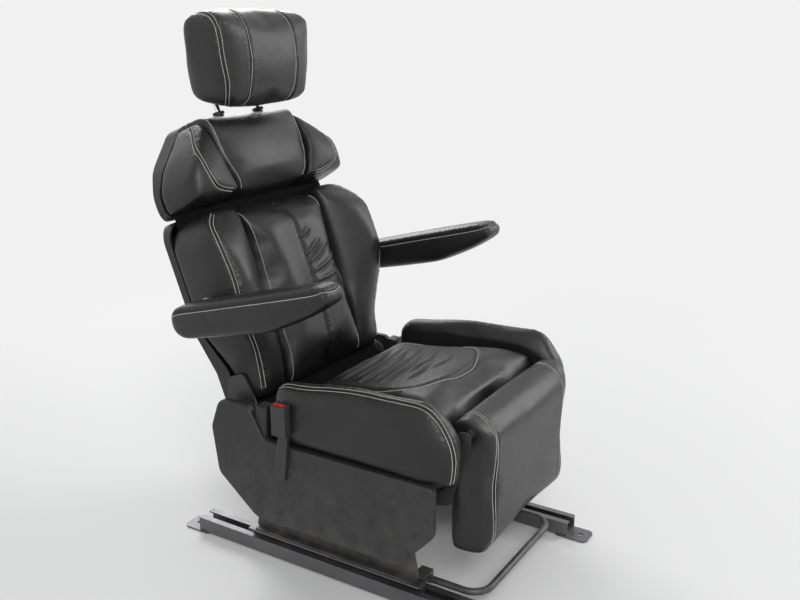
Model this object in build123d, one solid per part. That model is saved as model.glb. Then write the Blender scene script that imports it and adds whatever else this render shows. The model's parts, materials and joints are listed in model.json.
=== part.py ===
from build123d import *
import math
import os

# Second-row captain's seat of a family van, the left-hand one of the pair.
# Millimetres, +Z up. The sitter faces -Y and has +X on the left. The floor is
# Z = 0, and the origin is the middle of the four floor bolts.

# Floor rails and the sliders that run in them
RAIL_SPACING = 400.0
RAIL_LENGTH = 700.0
RAIL_WIDTH = 46.0
RAIL_HEIGHT = 30.0
RAIL_WALL = 3.0
RAIL_SLOT = 18.0
FOOT_THICKNESS = 4.0
FOOT_WIDTH = 52.0
FOOT_REACH = 45.0
FOOT_LAP = 30.0
BOLT_SETBACK = 22.0
BOLT_HOLE_RADIUS = 5.5
SLIDE_TRAVEL = 140.0
RUNNING_GAP = 0.4
SLIDER_STEM = 11.0
SLIDER_TOE = 8.0
SLIDER_CAP_WIDTH = 40.0
SLIDER_CAP = 4.0
SLIDER_STANDOFF = 12.0

# Pedestal
RISER_SHEET = 4.0
RISER_LENGTH = 400.0
RISER_LEAN = 36.0
RISER_FLANGE = 36.0
RISER_HOLE_RADIUS = 36.0
RISER_HOLE_Y = 85.0
TUBE_RADIUS = 12.0
TUBE_Y = 160.0
TUBE_Z = 150.0
PAN_TOP = 255.0
PAN_SHEET = 3.0
PAN_LIP = 30.0
PAN_OVERHANG = 25.0
PAN_FRONT = -235.0
PAN_REAR = 180.0
BAR_RADIUS = 7.0
BAR_REACH = 109.0
BAR_CORNER = 40.0
BAR_CLEARANCE = 5.0
BAR_EAR = 26.0

# Seat cushion
CUSHION_SEAM = 206.0
CUSHION_OVERHANG = 36.0
CUSHION_FRONT = -248.0
CUSHION_REAR = 112.0
CUSHION_RISE = 405.0
CUSHION_DIP = 362.0
BOLSTER_CREST = 466.0
BOLSTER_NOSE = -308.0
SKIRT = 290.0
SOFT_GAP = 0.3

# Footrest that hangs in front of the cushion
OTTOMAN_Y = -292.0
OTTOMAN_Z = 372.0
OTTOMAN_RADIUS = 38.0
OTTOMAN_HALF = 195.0
OTTOMAN_HANG = 252.0
OTTOMAN_SHELL = 8.0
OTTOMAN_PIN = 8.0
BRACKET_SHEET = 4.0
PIN_GAP = 0.05

# Backrest: its own upright frame, turned back about the recliner pins. Depth
# is measured forwards from the pins, height along the back.
RECLINE = 21.0
PIVOT_Y = 200.0
PIVOT_Z = 310.0
PIVOT_PIN = 12.0
PAD_REAR = -12.0
SHELL_REAR = -50.0
SHELL_WALL = 3.0
SHELL_STEP = 8.0
BACK_SEAM = 133.0
BACK_HALF = 262.0
WAIST_TOP = 98.0
WAIST_FLARE = 190.0
BACK_FOOT = 20.0
SHELL_FOOT = -10.0
BACK_TOP = 418.0
BACK_FACE = 88.0
BACK_CREST = 137.0
BACK_CORNER = 46.0
RECLINER_SHEET = 5.0
RECLINER_GAP = 3.0
RECLINER_HEEL = 64.0
RECLINER_CROWN = 44.0
RECLINER_NECK = 37.0
BRACKET_HALF = 38.0
HUB_RADIUS = 28.0

# Shoulder section that tilts forward over the backrest
TILT_LIMIT = 12.0
TILT_DEPTH = 15.0
TILT_DROP = 13.0
TILT_GAP = 6.0
TILT_PIN = 6.0
TILT_ARM_RADIUS = 12.0
TILT_ARM_X = 190.0
TILT_ARM_SHEET = 6.0
TILT_POCKET = 7.0
SHOULDER_TOP = 608.0
SHOULDER_FACE = 92.0
SHOULDER_SEAM_LOW = 112.0
SHOULDER_SEAM_HIGH = 141.0
WING_FACE = 112.0
SHOULDER_HALF = 251.0

# Headrest on two posts
POST_RADIUS = 6.0
POST_HALF = 63.0
POST_DEPTH = 46.0
POST_ENGAGED = 130.0
GUIDE_RADIUS = 9.7
GUIDE_COLLAR = 12.5
GUIDE_COLLAR_HEIGHT = 5.0
GUIDE_LENGTH = 145.0
HEAD_HALF = 152.0
HEAD_FLAT = 72.0
HEAD_FRONT = 106.0
HEAD_REAR = -26.0
HEAD_LOW = 16.0
HEAD_TOP = 216.0

# Armrests, folding up beside the backrest
ARM_DEPTH = 45.0
ARM_HEIGHT = 227.0
ARM_RISE = 15.0
ARM_GAP = 10.0
ARM_WIDTH = 72.0
ARM_LENGTH = 350.0
ARM_TOP = 31.0
ARM_EDGE = 12.0
ARM_PIN = 9.0
ARM_PIN_REACH = 36.0
ARM_FLANGE_RADIUS = 28.0
ARM_FLANGE = 5.0

# Plastic side covers, lever and belt buckle
SHIELD_STANDOFF = 22.0
SHIELD_DEPTH = 15.0
SHIELD_WALL = 3.0
SHIELD_LOW = 112.0
BOSS_RADIUS = 7.0
LEVER_THICKNESS = 14.0
LEVER_LENGTH = 144.0
LEVER_HUB = 11.0
LEVER_GRIP = 19.0
LEVER_Y = 112.0
LEVER_Z = 233.0
BUCKLE_GAP = 2.5
BUCKLE_Y = 64.0
BUCKLE_TOP = 385.0
BUCKLE_WIDTH = 34.0
BUCKLE_THICKNESS = 24.0
BUCKLE_HEIGHT = 62.0
BUCKLE_SLOT = 5.0
BUCKLE_SLOT_WIDTH = 23.0
BUCKLE_SLOT_DEPTH = 30.0
BUTTON_LENGTH = 22.0
BUTTON_WIDTH = 9.0
BUTTON_DEPTH = 12.0
STALK_WIDTH = 22.0
STALK_THICKNESS = 9.0
STALK_FOOT_Z = 232.0

REACH = 1200.0
OVERCUT = 1.5

RAIL_X = RAIL_SPACING / 2
PAN_HALF = RAIL_X + PAN_OVERHANG
CUSHION_HALF = PAN_HALF + CUSHION_OVERHANG
SHIELD_INNER = PAN_HALF + SHIELD_STANDOFF
SHIELD_OUTER = SHIELD_INNER + SHIELD_DEPTH
BUCKLE_X = SHIELD_OUTER + BUCKLE_GAP
ARM_INNER = BACK_HALF + ARM_GAP
TILT_HEIGHT = BACK_TOP - TILT_DROP
RAIL_TOP = FOOT_THICKNESS + RAIL_HEIGHT
SLIDER_TOP = RAIL_TOP + SLIDER_STANDOFF + SLIDER_CAP
SLIDER_LENGTH = RAIL_LENGTH - 2 * SLIDE_TRAVEL
PAN_UNDER = PAN_TOP - PAN_SHEET
BRACKET_X = CUSHION_SEAM - 2 - BRACKET_SHEET
LOWER_BRACKET_X = PAN_HALF
BACK_BRACKET_X = LOWER_BRACKET_X - RECLINER_GAP - RECLINER_SHEET
BACK_WAIST = BACK_BRACKET_X - SOFT_GAP

BACK = Pos(0, PIVOT_Y, PIVOT_Z) * Rot(-RECLINE, 0, 0)
HEAD = BACK * Pos(0, -POST_DEPTH, SHOULDER_TOP) * Rot(RECLINE, 0, 0)
ARM = BACK * Pos(0, -ARM_DEPTH, ARM_HEIGHT) * Rot(RECLINE - ARM_RISE, 0, 0)

nodes = {}


def face_of(corners, inset=0.0):
    """Closed face from rows of (across, up, corner radius)."""
    points = [(a, b) for a, b, _ in corners]
    face = make_face(FilletPolyline(*points, radius=[r for _, _, r in corners], close=True))
    return offset(face, amount=-inset) if inset else face


def side_prism(corners, x_low=-REACH, x_high=REACH, inset=0.0):
    """Solid between two X planes from rows of (y, z, radius)."""
    face = Plane.YZ.offset(x_low) * face_of(corners, inset)
    return extrude(face, amount=x_high - x_low, dir=(1, 0, 0))


def front_prism(corners, y_low=-REACH, y_high=REACH, inset=0.0):
    """Solid between two Y planes from rows of (x, z, radius)."""
    face = Plane.XZ.offset(-y_high) * face_of(corners, inset)
    return extrude(face, amount=y_high - y_low, dir=(0, -1, 0))


def plan_prism(corners, z_low=-REACH, z_high=REACH, inset=0.0):
    """Solid between two Z planes from rows of (x, y, radius)."""
    face = Plane.XY.offset(z_low) * face_of(corners, inset)
    return extrude(face, amount=z_high - z_low, dir=(0, 0, 1))


def forward(rows):
    """Rows of (depth, height, radius), depth forwards, as (y, z, radius)."""
    return [(-depth, height, radius) for depth, height, radius in rows]


def forward_plan(rows):
    """Rows of (x, depth, radius) as (x, y, radius)."""
    return [(x, -depth, radius) for x, depth, radius in rows]


def rod_x(radius, x_low, x_high, y, z):
    """Round bar along X."""
    return Pos((x_low + x_high) / 2, y, z) * Rot(0, 90, 0) * Cylinder(radius, x_high - x_low)


def rod_z(radius, x, y, z_low, z_high):
    """Round bar along Z."""
    return Pos(x, y, (z_low + z_high) / 2) * Cylinder(radius, z_high - z_low)


def block(x_low, x_high, y_low, y_high, z_low, z_high):
    """Rectangular block between named planes."""
    middle = Pos((x_low + x_high) / 2, (y_low + y_high) / 2, (z_low + z_high) / 2)
    return middle * Box(x_high - x_low, y_high - y_low, z_high - z_low)


def pair(name, solid):
    """The left piece as drawn, and its mirror image on the right."""
    nodes[name + "_left"] = solid
    nodes[name + "_right"] = mirror(solid, about=Plane.YZ)


def both(solid):
    """One node that holds a piece and its mirror image."""
    return Compound(children=[solid, mirror(solid, about=Plane.YZ)])


def make_rails():
    """C-channels with a slot along the top, welded to bolted feet."""
    channel = Rectangle(RAIL_WIDTH, RAIL_HEIGHT)
    channel -= Rectangle(RAIL_WIDTH - 2 * RAIL_WALL, RAIL_HEIGHT - 2 * RAIL_WALL)
    channel -= Pos(0, RAIL_HEIGHT / 2) * Rectangle(RAIL_SLOT, 3 * RAIL_WALL)
    rail = extrude(Plane.XZ * channel, amount=RAIL_LENGTH / 2, both=True)
    rail = Pos(RAIL_X, 0, FOOT_THICKNESS + RAIL_HEIGHT / 2) * rail
    for end in (-1, 1):
        foot = RectangleRounded(FOOT_WIDTH, FOOT_REACH + FOOT_LAP, 12)
        foot -= Pos(0, end * ((FOOT_REACH + FOOT_LAP) / 2 - BOLT_SETBACK)) * Circle(BOLT_HOLE_RADIUS)
        middle = end * (RAIL_LENGTH / 2 + (FOOT_REACH - FOOT_LAP) / 2)
        rail += Pos(RAIL_X, middle, 0) * extrude(foot, amount=FOOT_THICKNESS)
    pair("rail", rail)


def make_sliders():
    """T-sections that run inside the rails and carry the pedestal."""
    inside = RAIL_WIDTH - 2 * RAIL_WALL - 2 * RUNNING_GAP
    floor = FOOT_THICKNESS + RAIL_WALL + RUNNING_GAP
    half = SLIDER_LENGTH / 2
    slider = block(-inside / 2, inside / 2, -half, half, floor, floor + SLIDER_TOE)
    slider += block(-SLIDER_STEM / 2, SLIDER_STEM / 2, -half, half, floor, SLIDER_TOP)
    slider += block(-SLIDER_CAP_WIDTH / 2, SLIDER_CAP_WIDTH / 2, -half, half,
                    SLIDER_TOP - SLIDER_CAP, SLIDER_TOP)
    pair("slider", Pos(RAIL_X, 0, 0) * slider)


def make_pedestal():
    """Pressed side plates, cross tubes, the cushion pan and the slide bar."""
    half = RISER_LENGTH / 2
    web = [(-half, SLIDER_TOP, 6), (half, SLIDER_TOP, 6), (half - RISER_LEAN, PAN_UNDER, 6),
           (RISER_LEAN - half, PAN_UNDER, 6)]
    riser = side_prism(web, RAIL_X - RISER_SHEET / 2, RAIL_X + RISER_SHEET / 2)
    riser += block(RAIL_X - RISER_FLANGE / 2, RAIL_X + RISER_FLANGE / 2, 8 - half, half - 8,
                   SLIDER_TOP, SLIDER_TOP + RISER_SHEET)
    for y in (-RISER_HOLE_Y, 0, RISER_HOLE_Y):
        riser -= rod_x(RISER_HOLE_RADIUS, 0, REACH, y, TUBE_Z)
    pair("riser", riser)

    tube_half = RAIL_X - RISER_SHEET / 2
    tubes = [rod_x(TUBE_RADIUS, -tube_half, tube_half, y, TUBE_Z) for y in (-TUBE_Y, TUBE_Y)]
    nodes["cross_tubes"] = Compound(children=tubes)

    pan = block(-PAN_HALF, PAN_HALF, PAN_FRONT, PAN_REAR, PAN_TOP - PAN_LIP, PAN_TOP)
    pan = fillet(pan.edges().filter_by(Axis.Z), 18)
    hollow = block(PAN_SHEET - PAN_HALF, PAN_HALF - PAN_SHEET, PAN_FRONT + PAN_SHEET,
                   PAN_REAR - PAN_SHEET, 0, PAN_UNDER)
    nodes["cushion_pan"] = pan - fillet(hollow.edges().filter_by(Axis.Z), 18 - PAN_SHEET)

    z = SLIDER_TOP - SLIDER_CAP - BAR_RADIUS - 1
    rear = 1 - SLIDER_LENGTH / 2
    bar_x = RAIL_X - RAIL_WIDTH / 2 - BAR_CLEARANCE - BAR_RADIUS
    front = rear - BAR_REACH
    path = FilletPolyline((-bar_x, rear, z), (-bar_x, front, z), (bar_x, front, z),
                          (bar_x, rear, z), radius=BAR_CORNER)
    bar = sweep(Plane(path @ 0, z_dir=path % 0) * Circle(BAR_RADIUS), path)
    strap_low = SLIDER_TOP + RISER_SHEET
    ear = block(bar_x - 5, RAIL_X - RISER_SHEET / 2 - SOFT_GAP, rear, rear + BAR_EAR,
                strap_low, strap_low + RISER_SHEET)
    ear += block(bar_x - 5, bar_x + 5, rear, rear + BAR_EAR, z - BAR_RADIUS, strap_low)
    bar += ear
    bar += mirror(ear, about=Plane.YZ)
    nodes["slide_bar"] = bar


def make_cushion():
    """Centre pad, two raised bolsters and the plastic side covers."""
    centre = [(CUSHION_REAR - 12, PAN_TOP, 4), (CUSHION_REAR, CUSHION_DIP, 24),
              (CUSHION_FRONT + 98, CUSHION_RISE - 6, 500), (CUSHION_FRONT, CUSHION_RISE, 16),
              (CUSHION_FRONT, PAN_TOP + 45, 10), (CUSHION_FRONT + 8, PAN_TOP, 4)]
    half = CUSHION_SEAM - SOFT_GAP
    nodes["cushion_centre"] = side_prism(centre, -half, half)

    side = [(CUSHION_REAR - 12, PAN_TOP, 4), (CUSHION_REAR, BOLSTER_CREST - 48, 40),
            (CUSHION_REAR - 132, BOLSTER_CREST - 21, 200), (CUSHION_FRONT + 98, BOLSTER_CREST, 200),
            (BOLSTER_NOSE + 50, BOLSTER_CREST - 14, 70), (BOLSTER_NOSE, BOLSTER_CREST - 94, 60),
            (BOLSTER_NOSE + 6, SKIRT, 20), (PAN_FRONT - 4, PAN_TOP, 4)]
    across = [(CUSHION_SEAM, PAN_TOP - PAN_LIP, 0), (CUSHION_SEAM, BOLSTER_CREST - 70, 0),
              (CUSHION_SEAM + 18, BOLSTER_CREST - 20, 25), (CUSHION_HALF - 21, BOLSTER_CREST + 2, 16),
              (CUSHION_HALF, BOLSTER_CREST - 30, 30), (CUSHION_HALF, SKIRT, 8),
              (PAN_HALF + 8, SKIRT, 4), (PAN_HALF, PAN_TOP - PAN_LIP, 2)]
    pair("cushion_bolster", side_prism(side, 0, REACH) & front_prism(across))

    nose = CUSHION_FRONT - 14
    cover = [(nose, SKIRT - SOFT_GAP, 12), (CUSHION_REAR + 10, SKIRT - SOFT_GAP, 14),
             (PIVOT_Y - 40, PIVOT_Z + 44, 24), (PIVOT_Y + 36, PIVOT_Z + 44, 26),
             (PIVOT_Y + 60, SKIRT, 30), (PIVOT_Y + 46, SHIELD_LOW + 78, 30),
             (PIVOT_Y - 50, SHIELD_LOW, 40), (nose + 72, SHIELD_LOW, 30), (nose, SHIELD_LOW + 78, 30)]
    shield = side_prism(cover, SHIELD_INNER, SHIELD_OUTER)
    outer = shield.faces().sort_by(Axis.X)[-1]
    shield = fillet(outer.edges(), 5)
    shield -= side_prism(cover, SHIELD_INNER, SHIELD_OUTER - SHIELD_WALL, inset=SHIELD_WALL)
    for y in (PAN_FRONT + 55, PAN_REAR - 120):
        shield += rod_x(BOSS_RADIUS, PAN_HALF, SHIELD_OUTER - SHIELD_WALL, y, PAN_TOP - PAN_LIP / 2)
    pair("side_shield", shield)


def make_recliner():
    """Lower brackets on the pan, upper brackets and pins on the backrest."""
    heel = PAN_REAR - RECLINER_HEEL
    lower = [(heel, PAN_TOP - PAN_LIP, 4), (heel, PAN_TOP + 7, 20),
             (PIVOT_Y - RECLINER_NECK, PIVOT_Z + RECLINER_CROWN - 14, 30),
             (PIVOT_Y + 4, PIVOT_Z + RECLINER_CROWN, 36), (PIVOT_Y + RECLINER_NECK + 5, PIVOT_Z + 8, 36),
             (PIVOT_Y + RECLINER_NECK - 3, PAN_TOP + 13, 30), (PAN_REAR, PAN_TOP - PAN_LIP, 8)]
    plate = side_prism(lower, LOWER_BRACKET_X, LOWER_BRACKET_X + RECLINER_SHEET)
    plate -= rod_x(PIVOT_PIN + PIN_GAP, 0, REACH, PIVOT_Y, PIVOT_Z)
    pair("recliner", plate)

    sole = 8 - BRACKET_HALF
    neck = BRACKET_HALF - 4
    upper = forward([(neck + 2, sole, 30), (BRACKET_HALF, neck, 20),
                     (BRACKET_HALF - 8, WAIST_TOP - 12, 10), (PAD_REAR, WAIST_TOP - 12, 10),
                     (-BRACKET_HALF, neck, 30), (-neck, sole, 30)])
    plate = side_prism(upper, BACK_BRACKET_X, BACK_BRACKET_X + RECLINER_SHEET)
    plate += rod_x(HUB_RADIUS, BACK_BRACKET_X + RECLINER_SHEET,
                   LOWER_BRACKET_X - SOFT_GAP, 0, 0)
    plate += rod_x(PIVOT_PIN, BACK_BRACKET_X, LOWER_BRACKET_X + RECLINER_SHEET + 6, 0, 0)
    pair("back_bracket", BACK * plate)

    lever_x = SHIELD_OUTER + SOFT_GAP
    heel = LEVER_HUB + 5
    grip = [(heel, LEVER_GRIP - 6, 13), (heel, 6 - LEVER_GRIP, 13), (-heel, -LEVER_GRIP, 16),
            (8 - LEVER_LENGTH, -1, 9), (6 - LEVER_LENGTH, LEVER_GRIP, 9), (-2 * LEVER_HUB, LEVER_GRIP, 30)]
    grip = [(LEVER_Y + y, LEVER_Z + z, r) for y, z, r in grip]
    lever = side_prism(grip, lever_x + 4, lever_x + LEVER_THICKNESS)
    lever = fillet(lever.faces().sort_by(Axis.X)[-1].edges(), 4)
    nodes["recline_lever"] = lever + rod_x(LEVER_HUB, lever_x, lever_x + 5, LEVER_Y, LEVER_Z)


def back_outline(foot, top, edge):
    """Front outline of the backrest, from one side round to the other."""
    right = [(BACK_WAIST, foot, 20), (BACK_WAIST, WAIST_TOP, 30), (edge, WAIST_FLARE, 60),
             (edge, top, BACK_CORNER)]
    return right + [(-x, z, r) for x, z, r in reversed(right)]


def make_back():
    """Lower backrest: centre pad, side bolsters and the moulded rear cover."""
    side = forward([(PAD_REAR, BACK_FOOT, 4), (BACK_FACE - 16, BACK_FOOT, 34),
                    (BACK_FACE, BACK_FOOT + 170, 300), (BACK_FACE - 3, BACK_TOP, 26),
                    (PAD_REAR, BACK_TOP, 4)])
    half = BACK_SEAM - SOFT_GAP
    nodes["back_centre"] = BACK * side_prism(side, -half, half)

    side = forward([(PAD_REAR, BACK_FOOT, 4), (BACK_FACE - 26, BACK_FOOT, 34),
                    (BACK_FACE + 7, BACK_FOOT + 160, 120), (BACK_CREST, BACK_TOP - 156, 60),
                    (BACK_CREST - 13, BACK_TOP - 68, 90), (BACK_FACE - 12, BACK_TOP, 24),
                    (PAD_REAR, BACK_TOP, 4)])
    edge = BACK_HALF + OVERCUT
    plan = forward_plan([(BACK_SEAM, SHELL_REAR, 0), (BACK_SEAM, BACK_FACE - 6, 0),
                         (BACK_SEAM + 32, BACK_FACE + 20, 40), (BACK_HALF - 42, BACK_CREST + 2, 30),
                         (BACK_HALF - 10, BACK_CREST - 13, 24), (edge, BACK_FACE - 18, 60),
                         (edge, SHELL_REAR, 0)])
    bolster = side_prism(side, 0, REACH) & plan_prism(plan)
    bolster &= front_prism(back_outline(BACK_FOOT - OVERCUT, BACK_TOP + OVERCUT, BACK_HALF))
    bolster -= block(TILT_ARM_X - TILT_POCKET, TILT_ARM_X + TILT_ARM_SHEET + TILT_POCKET,
                     -TILT_DEPTH - TILT_ARM_RADIUS - TILT_POCKET - 8,
                     -TILT_DEPTH + TILT_ARM_RADIUS + TILT_POCKET,
                     TILT_HEIGHT - TILT_ARM_RADIUS - TILT_POCKET, BACK_TOP + 1)
    pin_low = TILT_ARM_X - TILT_POCKET - 6
    pin_high = TILT_ARM_X + TILT_ARM_SHEET + TILT_POCKET + 6
    bolster -= rod_x(TILT_PIN + SOFT_GAP, pin_low, pin_high, -TILT_DEPTH, TILT_HEIGHT)
    pair("back_bolster", BACK * bolster)
    pin = rod_x(TILT_PIN, pin_low + SOFT_GAP, pin_high - SOFT_GAP, -TILT_DEPTH, TILT_HEIGHT)
    nodes["tilt_pins"] = BACK * both(pin)

    edge = BACK_HALF - SHELL_STEP
    nodes["back_shell"] = BACK * shell_tray(back_outline(SHELL_FOOT, BACK_TOP, edge), edge)

    flange = rod_x(ARM_FLANGE_RADIUS, BACK_HALF + SOFT_GAP, BACK_HALF + ARM_FLANGE,
                   -ARM_DEPTH, ARM_HEIGHT)
    flange += rod_x(ARM_PIN, BACK_HALF + SOFT_GAP, ARM_INNER + ARM_PIN_REACH - 1,
                    -ARM_DEPTH, ARM_HEIGHT)
    pair("armrest_pivot", BACK * flange)


def shell_tray(front, half):
    """Thin moulded rear cover, open towards the pads."""
    def plan(mouth):
        rows = [(half + 20, mouth, 0), (half + 20, SHELL_REAR + 30, 10),
                (half - 46, SHELL_REAR, 60)]
        return forward_plan(rows + [(-x, depth, r) for x, depth, r in reversed(rows)])

    outer = front_prism(front) & plan_prism(plan(PAD_REAR))
    inner = front_prism(front, inset=SHELL_WALL) & plan_prism(plan(BACK_FACE), inset=SHELL_WALL)
    return outer - inner


def shoulder_outline(low, top, edge):
    """Front outline of the shoulder section."""
    right = [(edge - 4, low, 26), (edge, low + 50, 60), (edge - 30, top - 88, 110),
             (edge - 120, top, 50)]
    return right + [(-x, z, r) for x, z, r in reversed(right)]


def make_shoulders():
    """Tilting shoulder section: centre pad, wings, rear cover, hinge arms."""
    low = BACK_TOP + TILT_GAP
    slope = math.tan(math.radians(TILT_LIMIT))

    def under(depth):
        return low + (depth - TILT_DEPTH) * slope

    side = forward([(PAD_REAR, low, 4), (TILT_DEPTH, low, 0), (SHOULDER_FACE, under(SHOULDER_FACE), 24),
                    (SHOULDER_FACE, low + 76, 200), (SHOULDER_FACE - 12, SHOULDER_TOP, 28),
                    (PAD_REAR, SHOULDER_TOP, 10)])
    slab = side_prism(side)
    split = [(SHOULDER_SEAM_LOW, low - PAN_LIP, 0), (SHOULDER_SEAM_LOW, low + 20, 90),
             (SHOULDER_SEAM_HIGH, low + 90, 90), (SHOULDER_SEAM_HIGH, SHOULDER_TOP + PAN_LIP, 0)]
    split += [(-x, z, r) for x, z, r in reversed(split)]
    centre = slab & front_prism(split, inset=SOFT_GAP / 2)
    for side_x in (-POST_HALF, POST_HALF):
        centre -= rod_z(GUIDE_RADIUS + SOFT_GAP, side_x, -POST_DEPTH,
                        SHOULDER_TOP - GUIDE_LENGTH - 1, SHOULDER_TOP + 1)
    nodes["shoulder_centre"] = BACK * centre

    edge = SHOULDER_HALF + OVERCUT
    bulge = forward([(PAD_REAR, low, 4), (TILT_DEPTH, low, 0), (WING_FACE, under(WING_FACE), 24),
                     (WING_FACE, low + 60, 80), (SHOULDER_FACE - 12, SHOULDER_TOP - 30, 60),
                     (SHOULDER_FACE - 40, SHOULDER_TOP, 20), (PAD_REAR, SHOULDER_TOP, 10)])
    plan = forward_plan([(0, SHELL_REAR, 0), (0, SHOULDER_FACE - 6, 0),
                         (SHOULDER_SEAM_LOW - 20, SHOULDER_FACE - 6, 30),
                         (SHOULDER_HALF - 46, WING_FACE + 3, 40), (SHOULDER_HALF - 12, WING_FACE - 16, 24),
                         (edge, SHOULDER_FACE - 36, 26), (edge, SHELL_REAR, 0)])
    outline = shoulder_outline(low - OVERCUT, SHOULDER_TOP + OVERCUT, SHOULDER_HALF)
    wing = side_prism(bulge) & plan_prism(plan) & front_prism(outline)
    wing -= front_prism(split, inset=-SOFT_GAP / 2)
    pair("shoulder_wing", BACK * wing)

    arm = forward([(TILT_DEPTH - TILT_ARM_RADIUS, TILT_HEIGHT - TILT_ARM_RADIUS, 11),
                   (TILT_DEPTH + TILT_ARM_RADIUS, TILT_HEIGHT - TILT_ARM_RADIUS, 11),
                   (TILT_DEPTH + TILT_ARM_RADIUS, low + 8, 0),
                   (TILT_DEPTH - TILT_ARM_RADIUS, low + 8, 0)])
    arm = side_prism(arm, TILT_ARM_X, TILT_ARM_X + TILT_ARM_SHEET) - slab
    arm -= rod_x(TILT_PIN + PIN_GAP, 0, REACH, -TILT_DEPTH, TILT_HEIGHT)
    nodes["tilt_arms"] = BACK * both(arm)

    edge = SHOULDER_HALF - SHELL_STEP
    nodes["upper_shell"] = BACK * shell_tray(shoulder_outline(low, SHOULDER_TOP, edge), edge)

    guide = rod_z(GUIDE_RADIUS, POST_HALF, -POST_DEPTH, SHOULDER_TOP - GUIDE_LENGTH, SHOULDER_TOP)
    guide += rod_z(GUIDE_COLLAR, POST_HALF, -POST_DEPTH, SHOULDER_TOP + SOFT_GAP,
                   SHOULDER_TOP + GUIDE_COLLAR_HEIGHT)
    guide += rod_z(GUIDE_RADIUS, POST_HALF, -POST_DEPTH, SHOULDER_TOP - 1, SHOULDER_TOP + 1)
    guide -= rod_z(POST_RADIUS + PIN_GAP, POST_HALF, -POST_DEPTH,
                   SHOULDER_TOP - GUIDE_LENGTH + 3, SHOULDER_TOP + REACH)
    nodes["post_guides"] = BACK * both(guide)


def make_headrest():
    """Headrest pad with swept-back wings, on two round posts."""
    side = forward([(HEAD_REAR, HEAD_LOW + 10, 26), (HEAD_FRONT - 12, HEAD_LOW, 34),
                    (HEAD_FRONT, HEAD_LOW + 96, 150), (HEAD_FRONT - 16, HEAD_TOP, 46),
                    (HEAD_REAR, HEAD_TOP - 10, 44)])
    front = [(HEAD_HALF - 36, HEAD_LOW - OVERCUT, 44), (HEAD_HALF, HEAD_LOW + 118, 90),
             (HEAD_HALF - 8, HEAD_TOP + OVERCUT, 46)]
    front += [(-x, z, r) for x, z, r in reversed(front)]
    plan = [(HEAD_HALF, HEAD_REAR - OVERCUT, 36), (HEAD_HALF + OVERCUT, HEAD_FRONT - 20, 30),
            (HEAD_FLAT, HEAD_FRONT + OVERCUT, 60)]
    plan += [(-x, d, r) for x, d, r in reversed(plan)]
    pad = side_prism(side) & front_prism(front) & plan_prism(forward_plan(plan))
    pad = HEAD * pad
    nodes["headrest_pad"] = pad
    post = rod_z(POST_RADIUS, POST_HALF, -POST_DEPTH, SHOULDER_TOP - POST_ENGAGED,
                 SHOULDER_TOP + HEAD_LOW + 40)
    pair("post", (BACK * post) - pad)


def make_armrests():
    """Long pads with a rounded nose, each bored for its pivot pin."""
    side = forward([(-40, ARM_TOP - 69, 34), (-40, ARM_TOP, 30), (ARM_LENGTH, ARM_TOP, 24),
                    (ARM_LENGTH, ARM_TOP - 39, 15), (ARM_LENGTH - 54, ARM_TOP - 57, 80),
                    (0.56 * ARM_LENGTH, ARM_TOP - 77, 90)])
    pad = side_prism(side, ARM_INNER, ARM_INNER + ARM_WIDTH)
    for x_face in (0, -1):
        pad = fillet(pad.faces().sort_by(Axis.X)[x_face].edges(), ARM_EDGE)
    pad -= rod_x(ARM_PIN + PIN_GAP, ARM_INNER - 1, ARM_INNER + ARM_PIN_REACH, 0, 0)
    pair("armrest", ARM * pad)


def make_ottoman():
    """Footrest pad with a stiff back, hung on pins in two brackets."""
    low = OTTOMAN_Z - OTTOMAN_HANG
    front = OTTOMAN_Y - OTTOMAN_RADIUS
    rear = OTTOMAN_Y + OTTOMAN_RADIUS
    high = OTTOMAN_Z + OTTOMAN_RADIUS
    crown = OTTOMAN_RADIUS - 1
    shape = side_prism([(front, low, 26), (rear, low, 16), (rear, high, crown), (front, high, crown)])
    face = [(OTTOMAN_HALF - 6, low - OVERCUT, 30), (OTTOMAN_HALF, high + OVERCUT, 8)]
    face += [(-x, z, r) for x, z, r in reversed(face)]
    shape &= front_prism(face)
    plate = [(OTTOMAN_HALF - 26, low + 18, 20), (OTTOMAN_HALF - 20, OTTOMAN_Z - 20, 14)]
    plate += [(-x, z, r) for x, z, r in reversed(plate)]
    back = front_prism(plate, rear - OTTOMAN_SHELL, rear)
    pins = rod_x(OTTOMAN_PIN, BRACKET_X - 60, BRACKET_X + BRACKET_SHEET, OTTOMAN_Y, OTTOMAN_Z)
    bores = rod_x(OTTOMAN_PIN + SOFT_GAP, BRACKET_X - 61, REACH, OTTOMAN_Y, OTTOMAN_Z)
    pad = shape - front_prism(plate, rear - OTTOMAN_SHELL - SOFT_GAP, REACH, inset=-SOFT_GAP)
    nodes["ottoman_pad"] = pad - bores - mirror(bores, about=Plane.YZ)
    nodes["ottoman_back"] = back
    nodes["ottoman_pins"] = both(pins)

    arm = [(PAN_FRONT, PAN_TOP - PAN_LIP + 1, 2), (PAN_FRONT, PAN_TOP - 5, 2),
           (CUSHION_FRONT - 5, PAN_TOP + 7, 6), (OTTOMAN_Y + 12, OTTOMAN_Z + 12, 12),
           (OTTOMAN_Y - 13, OTTOMAN_Z + 12, 12), (OTTOMAN_Y - 13, OTTOMAN_Z - 14, 12),
           (PAN_FRONT - 30, PAN_TOP - 23, 10)]
    arm = side_prism(arm, BRACKET_X, BRACKET_X + BRACKET_SHEET)
    pair("ottoman_bracket", arm - rod_x(OTTOMAN_PIN + PIN_GAP, 0, REACH, OTTOMAN_Y, OTTOMAN_Z))


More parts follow.
